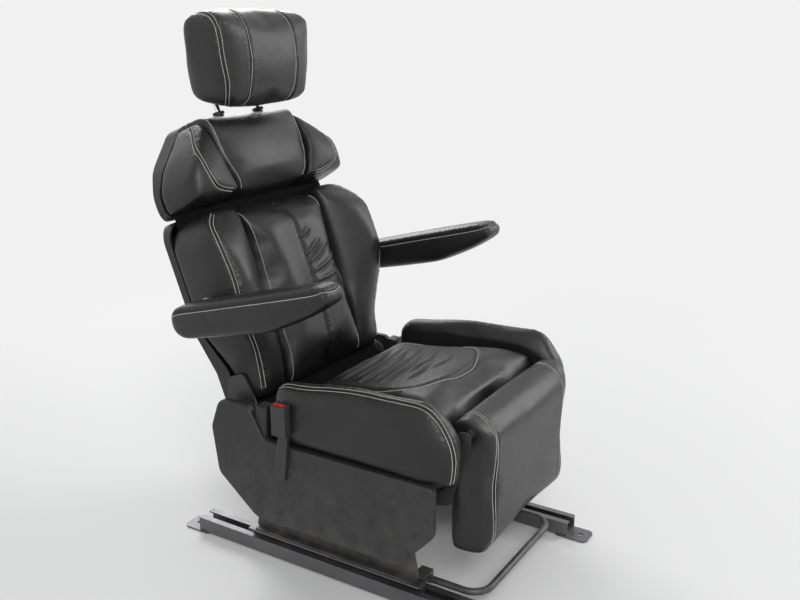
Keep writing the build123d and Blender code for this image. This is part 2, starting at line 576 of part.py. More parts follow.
def make_buckle():
    """Belt buckle on a stiff stalk, beside the cushion on the inner side."""
    low = BUCKLE_TOP - BUCKLE_HEIGHT
    half = BUCKLE_WIDTH / 2
    head = block(-BUCKLE_X - BUCKLE_THICKNESS, -BUCKLE_X, BUCKLE_Y - half, BUCKLE_Y + half,
                 low, BUCKLE_TOP)
    head = fillet(head.edges().filter_by(Axis.Z), 6)
    head = fillet(head.edges().group_by(Axis.Z)[-1], 2)
    slot_x = -BUCKLE_X - 4
    slot_half = BUCKLE_SLOT_WIDTH / 2
    head -= block(slot_x - BUCKLE_SLOT, slot_x, BUCKLE_Y - slot_half, BUCKLE_Y + slot_half,
                  BUCKLE_TOP - BUCKLE_SLOT_DEPTH, BUCKLE_TOP + 1)
    button_x = slot_x - BUCKLE_SLOT - 2
    half = BUTTON_LENGTH / 2
    gap = 0.2
    head -= block(button_x - BUTTON_WIDTH - gap, button_x + gap, BUCKLE_Y - half - gap,
                  BUCKLE_Y + half + gap, BUCKLE_TOP - BUTTON_DEPTH, BUCKLE_TOP + 1)
    nodes["buckle_head"] = head
    nodes["buckle_button"] = block(button_x - BUTTON_WIDTH, button_x, BUCKLE_Y - half,
                                   BUCKLE_Y + half, BUCKLE_TOP - BUTTON_DEPTH, BUCKLE_TOP + 1.5)
    half = STALK_WIDTH / 2
    stalk_low = -SHIELD_OUTER - SOFT_GAP - STALK_THICKNESS
    stalk = side_prism([(BUCKLE_Y - half, low, 0), (BUCKLE_Y + half, low, 0),
                        (BUCKLE_Y + half + 16, STALK_FOOT_Z + 10, 12),
                        (BUCKLE_Y + half + 16, STALK_FOOT_Z - 16, 12),
                        (BUCKLE_Y - half + 12, STALK_FOOT_Z - 16, 12)],
                       stalk_low, -SHIELD_OUTER - SOFT_GAP)
    nodes["buckle_stalk"] = stalk


make_rails()
make_sliders()
make_pedestal()
make_cushion()
make_recliner()
make_back()
make_shoulders()
make_headrest()
make_armrests()
make_ottoman()
make_buckle()

os.makedirs("parts", exist_ok=True)
for name, shape in nodes.items():
    export_step(shape, f"parts/{name}.step")
print(len(nodes), "nodes")
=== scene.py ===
"""Dresses the second-row captain's chair of a family van: stitched leather pads,
chrome posts, moulded covers and painted steel, in a plain studio."""

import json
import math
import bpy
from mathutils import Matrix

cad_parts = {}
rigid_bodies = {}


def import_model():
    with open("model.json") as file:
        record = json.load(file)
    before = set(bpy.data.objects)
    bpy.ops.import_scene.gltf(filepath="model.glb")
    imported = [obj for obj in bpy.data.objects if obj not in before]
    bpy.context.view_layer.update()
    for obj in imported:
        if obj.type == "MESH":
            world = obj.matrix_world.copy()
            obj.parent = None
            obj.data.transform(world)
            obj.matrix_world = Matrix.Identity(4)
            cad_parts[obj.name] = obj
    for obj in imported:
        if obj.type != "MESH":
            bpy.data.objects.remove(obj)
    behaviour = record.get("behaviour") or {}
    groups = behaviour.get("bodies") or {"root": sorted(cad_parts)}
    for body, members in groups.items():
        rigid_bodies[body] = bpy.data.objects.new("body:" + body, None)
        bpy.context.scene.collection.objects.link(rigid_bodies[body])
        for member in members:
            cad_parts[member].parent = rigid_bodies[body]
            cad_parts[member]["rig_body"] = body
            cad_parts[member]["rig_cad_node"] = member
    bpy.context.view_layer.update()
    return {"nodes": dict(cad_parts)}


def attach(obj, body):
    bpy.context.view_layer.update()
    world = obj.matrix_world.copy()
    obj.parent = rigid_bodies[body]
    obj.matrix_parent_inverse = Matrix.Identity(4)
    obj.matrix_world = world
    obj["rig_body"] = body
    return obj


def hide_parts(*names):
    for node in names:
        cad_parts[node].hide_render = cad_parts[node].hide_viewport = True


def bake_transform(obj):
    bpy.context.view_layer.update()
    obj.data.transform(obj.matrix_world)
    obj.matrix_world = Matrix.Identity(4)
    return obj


bl_info = {
    "name": "Van captain's chair",
    "version": (1, 0, 0),
    "blender": (4, 5, 0),
    "location": "View3D > Sidebar > Chair",
    "description": "Leather pads, topstitching, trim and a studio for a van's captain's chair",
    "category": "Add Mesh",
}

import bpy
import numpy as np
from bpy.props import FloatProperty, FloatVectorProperty, IntProperty, PointerProperty
from mathutils import Matrix, Vector
from mathutils.bvhtree import BVHTree

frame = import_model()
NODES = frame["nodes"]
MM = 0.001


def turned(origin, degrees):
    """Frame at a point in millimetres, turned about X."""
    place = Matrix.Translation(Vector(origin) * MM)
    return place @ Matrix.Rotation(math.radians(degrees), 4, "X")


# A point in these frames is written (across, forward, up), in millimetres.
FLOOR = Matrix.Identity(4)
BACK = turned((0, 200, 310), -21)
HEAD = BACK @ turned((0, -46, 608), 21)
ARM = BACK @ turned((0, -45, 227), 6)

# A pad rests on the pan below CUSHION_HELD, and on a rear cover behind BACK_HELD.
CUSHION_HELD = 268
CUSHION_SEAM = 206
CUSHION_TOP = 404
CUSHION_FRONT = 251
BACK_HELD = -4
BACK_REAR = -12
BACK_SEAM = 133
BACK_SIDE = 266
BACK_TOP = 418
SHOULDER_LOW = 424
SHOULDER_SEAMS = (112, 141)
HINGE_SLOPE = math.tan(math.radians(12))
ARM_INNER = 272
ARM_OUTER = 344
ARM_LENGTH = 350

SWELL_FRAMES = 20
DUST = (0.19, 0.175, 0.155, 1)


# Selection, meshes and lines


def only(piece):
    """Selects one object and makes it active."""
    bpy.ops.object.select_all(action="DESELECT")
    piece.select_set(True)
    bpy.context.view_layer.objects.active = piece


def edit(piece):
    """Edit mode with the whole mesh selected."""
    only(piece)
    bpy.ops.object.mode_set(mode="EDIT")
    bpy.ops.mesh.select_all(action="SELECT")


def leave_edit():
    bpy.ops.object.mode_set(mode="OBJECT")


def apply_modifiers(piece):
    """Applies a piece's modifiers, first to last, and leaves it selected."""
    only(piece)
    for name in [modifier.name for modifier in piece.modifiers]:
        bpy.ops.object.modifier_apply(modifier=name)


def points_of(piece, what="co"):
    """The places of a piece's points, or their normals."""
    out = np.empty(len(piece.data.vertices) * 3)
    piece.data.vertices.foreach_get(what, out)
    return out.reshape(-1, 3)


def move_points(piece, points):
    piece.data.vertices.foreach_set("co", points.ravel())
    piece.data.update()


def push_out(piece, distance):
    """Moves each point along its normal, by a distance in metres."""
    move_points(piece, points_of(piece) + points_of(piece, "normal") * distance)


def finish(piece, name):
    """Gives a piece one material."""
    piece.data.materials.clear()
    piece.data.materials.append(bpy.data.materials[name])


def duplicate(piece, name):
    """A selected copy of a piece, with its own mesh."""
    only(piece)
    bpy.ops.object.duplicate()
    other = bpy.context.active_object
    other.name = other.data.name = name
    return other


def local(place, points):
    """Points in a frame, as (across, forward, up) in millimetres."""
    inverse = np.array(place.inverted())
    inside = points @ inverse[:3, :3].T + inverse[:3, 3]
    return inside * (1 / MM, -1 / MM, 1 / MM)


def world(place, rows):
    """Rows of (across, forward, up) in millimetres, as world points."""
    matrix = np.array(place)
    inside = np.array(rows, float) * (MM, -MM, MM)
    return inside @ matrix[:3, :3].T + matrix[:3, 3]


def smooth_line(points, step=0.002):
    """A Catmull-Rom curve through a few points, sampled evenly."""
    points = np.array(points)
    ends = np.vstack([2 * points[0] - points[1], points, 2 * points[-1] - points[-2]])
    t = np.linspace(0, 1, 24, endpoint=False)[:, None]
    runs = []
    for a, b, c, d in zip(ends, ends[1:], ends[2:], ends[3:]):
        runs.append(0.5 * (2 * b + (c - a) * t + (2 * a - 5 * b + 4 * c - d) * t**2
                           + (3 * b - a - 3 * c + d) * t**3))
    line = np.vstack([*runs, points[-1:]])
    length = np.concatenate([[0], np.cumsum(np.linalg.norm(np.diff(line, axis=0), axis=1))])
    even = np.linspace(0, length[-1], max(2, int(length[-1] / step)))
    return np.column_stack([np.interp(even, length, line[:, k]) for k in range(3)])


def tree_of(piece):
    return BVHTree.FromPolygons([v.co for v in piece.data.vertices],
                                [p.vertices for p in piece.data.polygons])


def evened(rows, rounds):
    """Rows with their ends kept and the kinks between them smoothed away."""
    for _ in range(rounds):
        rows = np.vstack([rows[:1], 0.25 * rows[:-2] + 0.5 * rows[1:-1] + 0.25 * rows[2:], rows[-1:]])
    return rows


def nearest_on(tree, line):
    hits = [tree.find_nearest(Vector(p))[:2] for p in line]
    return np.array([h[0] for h in hits]), np.array([h[1] for h in hits])


def laid_on(tree, line, offset=0.0):
    """A smooth line over a surface, moved sideways along it by offset."""
    spots, normals = nearest_on(tree, line)
    spots, normals = evened(spots, rounds=60), evened(normals, rounds=60)
    if offset:
        side = np.cross(np.gradient(spots, axis=0), normals)
        side /= np.maximum(np.linalg.norm(side, axis=1, keepdims=True), 1e-9)
        spots = spots + side * offset
    spots, normals = nearest_on(tree, spots)
    return evened(spots, rounds=6), evened(normals, rounds=6)


def nearness(points, line):
    """Distance of each point from a line, and how far along the line its foot is."""
    best = np.full(len(points), 1e9)
    along = np.zeros(len(points))
    walked = 0.0
    low, high = line.min(0) - 0.03, line.max(0) + 0.03
    near = np.flatnonzero(((points > low) & (points < high)).all(1))
    for a, b in zip(line[:-1], line[1:]):
        run = b - a
        size = float(np.linalg.norm(run))
        t = np.clip((points[near] - a) @ run / max(size * size, 1e-12), 0, 1)
        gap = np.linalg.norm(points[near] - a - t[:, None] * run, axis=1)
        closer = gap < best[near]
        best[near[closer]] = gap[closer]
        along[near[closer]] = walked + t[closer] * size
        walked += size
    return best, along, walked


def bell(distance, width):
    return np.exp(-(distance / width) ** 2)


# Padded leather


def copied(solid, name):
    """A merged copy of a CAD solid's mesh, free of its body."""
    piece = duplicate(NODES[solid], name)
    bpy.ops.object.parent_clear(type="CLEAR")
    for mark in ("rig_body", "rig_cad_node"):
        del piece[mark]
    piece.data.materials.clear()
    edit(piece)
    bpy.ops.mesh.remove_doubles(threshold=1e-5)
    leave_edit()
    return piece


def swollen(piece, held, pressure, cap):
    """Blows the shell up as cloth, with the held points still, and caps the swelling."""
    before = points_of(piece)
    group = piece.vertex_groups.new(name="held")
    group.add(np.flatnonzero(held).tolist(), 1.0, "REPLACE")
    cloth = piece.modifiers.new("Swell", "CLOTH")
    cloth.settings.vertex_group_mass = group.name
    cloth.settings.use_pressure = True
    cloth.settings.uniform_pressure_force = pressure
    cloth.settings.effector_weights.gravity = 0
    cloth.settings.bending_stiffness = 8
    cloth.settings.tension_stiffness = cloth.settings.compression_stiffness = 9
    for number in range(1, SWELL_FRAMES + 1):
        bpy.context.scene.frame_set(number)
    apply_modifiers(piece)
    bpy.context.scene.frame_set(1)
    piece.vertex_groups.clear()
    moved = points_of(piece) - before
    length = np.linalg.norm(moved, axis=1, keepdims=True)
    move_points(piece, before + moved * np.minimum(1, cap / np.maximum(length, 1e-9)))


def relaxed(piece, rounds):
    """Evens the mesh out."""
    edit(piece)
    bpy.ops.mesh.vertices_smooth(factor=0.5, repeat=rounds)
    leave_edit()


def pad(solid, name, place, limit, held, cap=9 * MM, start=3 * MM, rounding=8, calm=14):
    """A stuffed leather shell that grows from a CAD solid. limit moves points that
    leave their room back into it, and held picks those that rest on something.
    Both take the points as (across, forward, up) in millimetres."""
    sizes = bpy.context.scene.chair_sizes
    piece = copied(solid, name)
    piece.data.remesh_voxel_size = sizes.voxel
    only(piece)
    bpy.ops.object.voxel_remesh()
    relaxed(piece, rounding)
    push_out(piece, -start)
    still = held(*local(place, points_of(piece)).T)
    swollen(piece, still, sizes.pressure, cap + start)
    relaxed(piece, calm)
    inside = local(place, points_of(piece))
    move_points(piece, world(place, np.column_stack(limit(*inside.T))))
    refine = piece.modifiers.new("Refine", "SUBSURF")
    refine.levels = refine.render_levels = 1
    apply_modifiers(piece)
    bpy.ops.object.shade_smooth()
    # crease carries painted shade for seams and furrows, and worn carries polish from use.
    for layer in ("crease", "worn"):
        piece.data.attributes.new(layer, "FLOAT", "POINT")
    return piece


def add_mask(piece, layer, values):
    """Raises a point attribute that the leather reads."""
    store = piece.data.attributes[layer].data
    old = np.empty(len(store))
    store.foreach_get("value", old)
    store.foreach_set("value", np.clip(np.maximum(old, values), 0, 1))


def drawn_on(piece, place, rows):
    """The smooth line over a piece that follows points of a frame."""
    return laid_on(tree_of(piece), smooth_line(world(place, rows)))[0]


def sew(piece, place, rows, depth=2.2, width=3.2, pucker=0.35):
    """Sinks a seam along a line, with the leather pulled into small puckers and painted shade in the
    groove.
    """
    line = drawn_on(piece, place, rows)
    gap, along, _ = nearness(points_of(piece), line)
    groove = bell(gap, width * MM)
    swell = bell(gap - 9 * MM, 6 * MM)
    wave = np.sin(along / (13 * MM) * math.tau + 1.7 * np.sin(along / (37 * MM) * math.tau))
    shift = -depth * groove + 0.5 * swell + pucker * swell * wave
    push_out(piece, shift[:, None] * MM)
    # Painted shade: the crease mask darkens the seam's groove.
    add_mask(piece, "crease", bell(gap, 1.3 * width * MM))
    return line


def fold(piece, place, rows, height, width):
    """Raises a soft ridge along a line, with a furrow on its far side that gets painted shade."""
    line = drawn_on(piece, place, rows)
    beside, _ = laid_on(tree_of(piece), line, offset=1.5 * width * MM)
    gap, along, length = nearness(points_of(piece), line)
    gap_beside = nearness(points_of(piece), beside)[0]
    ends = np.clip(np.sin(np.pi * along / length), 0, 1) ** 0.7
    ridge = bell(gap, width * MM) * ends
    furrow = bell(gap_beside, 0.8 * width * MM) * ends
    push_out(piece, height * (ridge - 0.9 * furrow)[:, None] * MM)
    add_mask(piece, "worn", ridge)
    # Painted shade: the crease mask darkens the furrow.
    add_mask(piece, "crease", 0.7 * furrow)


def rub(piece, place, rows, width, amount=0.8):
    """Marks a band along a line as polished by use."""
    line, _ = nearest_on(tree_of(piece), smooth_line(world(place, rows)))
    gap = nearness(points_of(piece), line)[0]
    add_mask(piece, "worn", amount * bell(gap, width * MM))


def rolled(a, b, edge_a, edge_b, radius):
    """Rolls the square corner where a meets edge_a and b meets edge_b over to a round one."""
    u = np.clip((a - edge_a) / radius + 1, 0, 1)
    v = np.clip((b - edge_b) / radius + 1, 0, 1)
    return (a - radius * u * (1 - np.sqrt(1 - v * v / 2)),
            b - radius * v * (1 - np.sqrt(1 - u * u / 2)))


def eased(low, high, value):
    """Rises smoothly from 0 at low to 1 at high."""
    t = np.clip((value - low) / (high - low), 0, 1)
    return t * t * (3 - 2 * t)


def mirrored(piece, name):
    """The other side's copy of a piece."""
    other = duplicate(piece, name)
    move_points(other, points_of(other) * (-1, 1, 1))
    edit(other)
    bpy.ops.mesh.flip_normals()
    leave_edit()
    return other


# Nodes


def plug(tree, socket, value):
    """Gives a socket another node's output, or else a value of its own."""
    if hasattr(value, "links"):
        tree.links.new(value, socket)
    else:
        socket.default_value = value


def wire(tree, target, **sources):
    """Feeds a node's inputs, named with _ for a space."""
    for name, source in sources.items():
        plug(tree, target.inputs[name.replace("_", " ")], source)


def node(tree, kind, numbered=(), **values):
    """A node with its settings and inputs. numbered feeds the first inputs in their order."""
    made = tree.nodes.new(kind)
    for name, value in values.items():
        if hasattr(made, name):
            setattr(made, name, value)
        else:
            wire(tree, made, **{name: value})
    for number, value in enumerate(numbered):
        plug(tree, made.inputs[number], value)
    return made


# Topstitching


# Lengths of a stitch's body and of each of its tips, as shares of the pitch, and how
# far a tip narrows, as a share of the thread's radius
STITCH_BODY = 0.72
STITCH_TIP = 0.12
STITCH_TAPER = 0.45


def stitch_nodes():
    """Geometry Nodes that lay one stitch after another along a curve."""
    group = bpy.data.node_groups.new("Topstitch", "GeometryNodeTree")
    group.interface.new_socket("Line", in_out="INPUT", socket_type="NodeSocketGeometry")
    group.interface.new_socket("Thread", in_out="OUTPUT", socket_type="NodeSocketGeometry")
    line = node(group, "NodeGroupInput").outputs[0]
    spots = node(group, "GeometryNodeResampleCurve", mode="LENGTH", Curve=line,
                 Length=bpy.context.scene.chair_sizes.stitch_pitch).outputs[0]
    stitch = node(group, "GeometryNodeObjectInfo", Object=one_stitch()).outputs["Geometry"]
    tangent = node(group, "GeometryNodeInputTangent").outputs[0]
    aim = node(group, "FunctionNodeAlignRotationToVector", axis="Z", Vector=tangent).outputs[0]
    laid = node(group, "GeometryNodeInstanceOnPoints", Points=spots, Instance=stitch, Rotation=aim)
    real = node(group, "GeometryNodeRealizeInstances", [laid.outputs[0]])
    node(group, "NodeGroupOutput", [real.outputs[0]])
    return group


def one_stitch():
    """One thread stitch along Z, round and pointed at both ends."""
    sizes = bpy.context.scene.chair_sizes
    bpy.ops.mesh.primitive_cylinder_add(vertices=6, radius=sizes.thread / 2, end_fill_type="NGON",
                                        depth=STITCH_BODY * sizes.stitch_pitch)
    stitch = bpy.context.active_object
    stitch.name = stitch.data.name = "one_stitch"
    edit(stitch)
    bpy.ops.mesh.select_mode(type="FACE")
    bpy.ops.mesh.select_all(action="DESELECT")
    leave_edit()
    for face in stitch.data.polygons:
        face.select = abs(face.normal.z) > 0.9
    bpy.ops.object.mode_set(mode="EDIT")
    bpy.ops.mesh.inset(thickness=STITCH_TAPER * sizes.thread / 2,
                       depth=STITCH_TIP * sizes.stitch_pitch, use_individual=True)
    leave_edit()
    bpy.ops.object.shade_smooth()
    finish(stitch, "Thread")
    stitch.hide_render = stitch.hide_viewport = True
    return stitch


def topstitch(piece, name, body, lines):
    """Rows of stitches on a finished pad. lines holds (line, offsets in millimetres)."""
    lift = 0.3 * bpy.context.scene.chair_sizes.thread
    tree = tree_of(piece)
    curve = bpy.data.curves.new(name, "CURVE")
    curve.dimensions = "3D"
    for line, offsets in lines:
        for offset in offsets:
            spots, normals = laid_on(tree, line, offset * MM)
            spline = curve.splines.new("POLY")
            spline.points.add(len(spots) - 1)
            for point, spot in zip(spline.points, spots + normals * lift):
                point.co = (*spot, 1)
    thread = bpy.data.objects.new(name, curve)
    bpy.context.collection.objects.link(thread)
    maker = thread.modifiers.new("Topstitch", "NODES")
    maker.node_group = bpy.data.node_groups.get("Topstitch") or stitch_nodes()
    only(thread)
    bpy.ops.object.convert(target="MESH")
    thread = bpy.context.active_object
    finish(thread, "Thread")
    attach(thread, body)
    return thread


def dress(piece, body, solid):
    """Leather finish and body of a finished pad, with its CAD solid hidden."""
    finish(piece, "Leather")
    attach(piece, body)
    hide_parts(solid)


def right_hand(name):
    return name.replace("_left", "_right")


def both_sides(left, solid, body, stitches, line, offsets):
    """Stitches and dresses a left-hand pad, and mirrors pad and stitches to the right."""
    thread = topstitch(left, stitches, body, [(line, offsets)])
    right = mirrored(left, right_hand(left.name))
    dress(left, body, solid)
    dress(right, right_hand(body), right_hand(solid))
    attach(mirrored(thread, right_hand(stitches)), right_hand(body))


def on_side(side, rows):
    """Rows of points as they are where side is 1, and mirrored where it is -1."""
    return [(side * x, f, u) for x, f, u in rows]


# Finishes


def object_place(tree):
    return node(tree, "ShaderNodeTexCoord").outputs["Object"]


def noise(tree, place, **values):
    return node(tree, "ShaderNodeTexNoise", Vector=place, **values).outputs[0]


def maths(tree, operation, *values):
    return node(tree, "ShaderNodeMath", values, operation=operation).outputs[0]


def ranged(tree, value, **ends):
    """A value carried from one range to another."""
    return node(tree, "ShaderNodeMapRange", Value=value, **ends).outputs[0]


def bumped(tree, height, strength, depth, **under):
    """A bump as deep as depth, in millimetres, over the Normal that under may hold."""
    return node(tree, "ShaderNodeBump", Height=height, Strength=strength, Distance=depth * MM,
                **under).outputs[0]


def colour_mix(tree, factor, low, high):
    mix = node(tree, "ShaderNodeMix", data_type="RGBA", Factor=factor)
    plug(tree, mix.inputs[6], low)
    plug(tree, mix.inputs[7], high)
    return mix.outputs[2]


def scaled(colour, factor):
    return (*(c * factor for c in colour[:3]), 1)


def patchy(tree, colour, scale, dark, light):
    """Handling patches, and a colour that they make darker and lighter."""
    patches = placed_group(tree, "Handling patches", Scale=scale)
    return patches, colour_mix(tree, patches, scaled(colour, dark), scaled(colour, light))


def new_group(name, output, **inputs):
    """A group with number sockets, as (group, start, end, place on the object)."""
    group = bpy.data.node_groups.new(name, "ShaderNodeTree")
    for label, value in inputs.items():
        socket = group.interface.new_socket(label, in_out="INPUT", socket_type="NodeSocketFloat")
        socket.default_value = value
    group.interface.new_socket(output, in_out="OUTPUT", socket_type="NodeSocketFloat")
    return (group, group.nodes.new("NodeGroupInput"), group.nodes.new("NodeGroupOutput"),
            object_place(group))


def grain_group():
    """Pebbled grain: raised cells with fine creases between them."""
    group, start, end, place = new_group("Leather grain", "Height", Scale=900.0, Softness=0.25)
    warp = node(group, "ShaderNodeTexNoise", Vector=place, Scale=160.0, Detail=2.0).outputs["Color"]
    bent = node(group, "ShaderNodeVectorMath", [warp], operation="SCALE", Scale=0.0016).outputs[0]
    spot = node(group, "ShaderNodeVectorMath", [place, bent], operation="ADD").outputs[0]
    cells = node(group, "ShaderNodeTexVoronoi", feature="DISTANCE_TO_EDGE", Vector=spot,
                 Scale=start.outputs["Scale"]).outputs["Distance"]
    wire(group, end, Height=ranged(group, cells, From_Max=start.outputs["Softness"],
                                   interpolation_type="SMOOTHSTEP"))


def patches_group():
    """Slow uneven patches, as handling leaves on any finish."""
    group, start, end, place = new_group("Handling patches", "Value", Scale=9.0)
    cloud = noise(group, place, Scale=start.outputs["Scale"], Detail=6.0, Roughness=0.62)
    wire(group, end, Value=ranged(group, cloud, From_Min=0.35, From_Max=0.65))


def dust_group():
    """Dust that has settled low down, thicker in some places than in others."""
    group, start, end, place = new_group("Settled dust", "Value", Top=0.3, Amount=0.5)
    height = node(group, "ShaderNodeSeparateXYZ", [place]).outputs["Z"]
    low = ranged(group, height, From_Min=start.outputs["Top"], From_Max=0.0)
    cloud = noise(group, place, Scale=24.0, Detail=8.0, Roughness=0.7)
    spots = ranged(group, cloud, From_Min=0.38, From_Max=0.72)
    both = maths(group, "MULTIPLY", low, spots)
    wire(group, end, Value=maths(group, "MULTIPLY", both, start.outputs["Amount"]))


def placed_group(tree, name, **values):
    """The output of a group that is placed in a material with its own values."""
    group = bpy.data.node_groups[name]
    return node(tree, "ShaderNodeGroup", node_tree=group, **values).outputs[0]


def dusted(tree, base, top, amount):
    """A base colour with dust laid over it, up to a height of top in metres."""
    dust = placed_group(tree, "Settled dust", Top=top, Amount=amount)
    return colour_mix(tree, dust, base, DUST)


def blank(name, **sockets):
    """A new material's node tree and its Principled shader, with constants on its sockets."""
    material = bpy.data.materials.new(name)
    material.use_nodes = True
    tree = material.node_tree
    shader = tree.nodes["Principled BSDF"]
    wire(tree, shader, **sockets)
    return tree, shader


def leather(colour):
    """Black pebbled leather: dull and darkened as painted shade in the seams and wrinkle furrows,
    polished where it is rubbed.
    """
    tree, shader = blank("Leather", IOR=1.5, Specular_IOR_Level=0.42)
    grain = placed_group(tree, "Leather grain", Scale=780.0, Softness=0.22)
    patches, base = patchy(tree, colour, 7.0, 0.8, 1.25)
    crease, worn = [node(tree, "ShaderNodeAttribute", attribute_name=layer).outputs["Fac"]
                    for layer in ("crease", "worn")]
    base = colour_mix(tree, worn, base, scaled(colour, 1.7))
    # Painted shade: the crease mask darkens seams and wrinkle furrows to three tenths of the leather's
    # colour.
    base = colour_mix(tree, crease, base, scaled(colour, 0.3))
    rough = ranged(tree, patches, To_Min=0.30, To_Max=0.40)
    for mask, change in ((grain, -0.08), (worn, -0.07), (crease, 0.25)):
        rough = maths(tree, "MULTIPLY_ADD", mask, change, rough)
    creasing = noise(tree, object_place(tree), Scale=55.0, Detail=5.0, Roughness=0.65)
    soft = bumped(tree, creasing, 0.22, 1.2)
    wire(tree, shader, Base_Color=base, Roughness=rough,
         Normal=bumped(tree, grain, 0.45, 0.16, Normal=soft))


def thread(colour):
    """Bonded off-white thread with a fine twist."""
    tree, shader = blank("Thread", Sheen_Weight=0.3, Sheen_Roughness=0.5)
    _, base = patchy(tree, colour, 30.0, 0.78, 1.0)
    twist = noise(tree, object_place(tree), Scale=1800.0, Detail=1.0)
    wire(tree, shader, Base_Color=base, Roughness=ranged(tree, twist, To_Min=0.55, To_Max=0.8),
         Normal=bumped(tree, twist, 0.5, 0.2))


def moulding(name, colour, scale, rough, grain_depth, dust=0.0, gloss=0.5):
    """Moulded plastic with a pressed-in grain and handling marks."""
    tree, shader = blank(name, IOR=1.47, Specular_IOR_Level=gloss)
    grain = placed_group(tree, "Leather grain", Scale=scale, Softness=0.4)
    patches, base = patchy(tree, colour, 11.0, 0.85, 1.2)
    wire(tree, shader, Base_Color=dusted(tree, base, 0.34, dust),
         Roughness=ranged(tree, patches, To_Min=rough - 0.05, To_Max=rough + 0.06),
         Normal=bumped(tree, grain, 0.4, grain_depth))


def metal(name, colour, low, high, metallic=1.0, streak=(1, 1, 1), dust=0.0):
    """Metal or paint whose gloss changes with handling, brushed along where streak is small."""
    tree, shader = blank(name, Metallic=metallic)
    patches, base = patchy(tree, colour, 18.0, 0.88, 1.05)
    stretch = node(tree, "ShaderNodeMapping", Vector=object_place(tree), Scale=streak).outputs[0]
    lines = noise(tree, stretch, Scale=420.0, Detail=2.0)
    wire(tree, shader, Base_Color=dusted(tree, base, 0.2, dust),
         Roughness=ranged(tree, patches, To_Min=low, To_Max=high),
         Normal=bumped(tree, lines, 0.12, 0.1))


# Properties


def length_property(label, what, value, low, high):
    """A length, with its default and limits in millimetres."""
    return FloatProperty(name=label, description=what, default=value * MM, min=low * MM,
                         max=high * MM, unit="LENGTH")


class ChairSizes(bpy.types.PropertyGroup):
    voxel: length_property("Pad mesh", "Mesh size of the pads before refining", 5.6, 3, 10)
    pressure: FloatProperty(name="Stuffing pressure", description="Pressure that swells the pads",
                            default=4.0, min=0.0, max=12.0)
    stitch_pitch: length_property("Stitch pitch", "Distance from stitch to stitch", 6.8, 3, 15)
    thread: length_property("Thread width", "Thickness of the topstitching thread", 1.25, 0.4, 3)
    wrinkle: length_property("Wrinkle height", "Height of the folds in the cushion", 4.2, 0, 8)
    screw: length_property("Screw head", "Radius of the cover screws", 5.5, 2, 12)
    lens: FloatProperty(name="Lens", description="Focal length of the studio camera",
                        default=42.0, min=15.0, max=120.0, subtype="DISTANCE_CAMERA")
    creases: IntProperty(name="Back creases", description="Slanting creases low in the backrest",
                         default=5, min=0, max=9)


def colour_property(label, what, value):
    return FloatVectorProperty(name=label, description="Colour of the " + what, default=value,
                               size=3, min=0.0, max=1.0, subtype="COLOR")


class ChairColours(bpy.types.PropertyGroup):
    leather: colour_property("Leather", "pads", (0.012, 0.0125, 0.0118))
    thread: colour_property("Thread", "topstitching", (0.60, 0.59, 0.55))
    plastic: colour_property("Covers", "moulded covers", (0.02, 0.02, 0.021))
    buckle: colour_property("Buckle", "buckle and its stalk", (0.03, 0.03, 0.032))
    button: colour_property("Button", "buckle's release button", (0.62, 0.02, 0.015))
    chrome: colour_property("Chrome", "bright metal", (0.86, 0.87, 0.89))
    paint: colour_property("Paint", "painted steel", (0.035, 0.035, 0.037))
    zinc: colour_property("Rails", "plated rails", (0.16, 0.16, 0.17))
    floor: colour_property("Floor", "studio floor", (0.80, 0.80, 0.79))


# Operators


class CHAIR_OT_finishes(bpy.types.Operator):
    """Makes the materials and gives the steel, chrome and plastic nodes theirs"""

    bl_idname = "chair.finishes"
    bl_label = "Finishes"

    # The nodes of each finish, where a left-hand node stands for the right-hand one too
    FINISH_OF = {
        "Covers": ("side_shield_left", "back_shell", "upper_shell", "recline_lever", "ottoman_back"),
        "Buckle": ("buckle_head", "buckle_stalk", "post_guides"),
        "Button": ("buckle_button",),
        "Chrome": ("post_left",),
        "Paint": ("riser_left", "cross_tubes", "cushion_pan", "slide_bar", "tilt_arms",
                  "recliner_left", "back_bracket_left", "ottoman_bracket_left"),
        "Rails": ("rail_left", "slider_left"),
        "Bare steel": ("tilt_pins", "ottoman_pins", "armrest_pivot_left"),
    }

    def execute(self, context):
        colours = context.scene.chair_colours
        grain_group()
        patches_group()
        dust_group()
        leather(colours.leather)
        thread(colours.thread)
        moulding("Covers", colours.plastic, 620.0, 0.5, 0.12, dust=0.4)
        moulding("Buckle", colours.buckle, 1500.0, 0.42, 0.05)
        moulding("Button", colours.button, 2400.0, 0.3, 0.02)
        # Lining: black fabric for the hinge gaps. Its colour is halved from the leather's and its
        # gloss is nearly gone as painted shade, so the gaps read as shaded grooves.
        moulding("Lining", scaled(colours.leather, 0.5), 2600.0, 0.85, 0.2, gloss=0.06)
        metal("Chrome", colours.chrome, 0.05, 0.12)
        metal("Paint", colours.paint, 0.34, 0.46, metallic=0.0, dust=0.7)
        metal("Rails", colours.zinc, 0.34, 0.5, metallic=0.85, streak=(1, 0.04, 1), dust=0.5)
        metal("Bare steel", scaled(colours.chrome, 0.6), 0.22, 0.36, streak=(0.05, 1, 1))
        for material, names in self.FINISH_OF.items():
            for name in names:
                finish(NODES[name], material)
                finish(NODES[right_hand(name)], material)
        return {"FINISHED"}


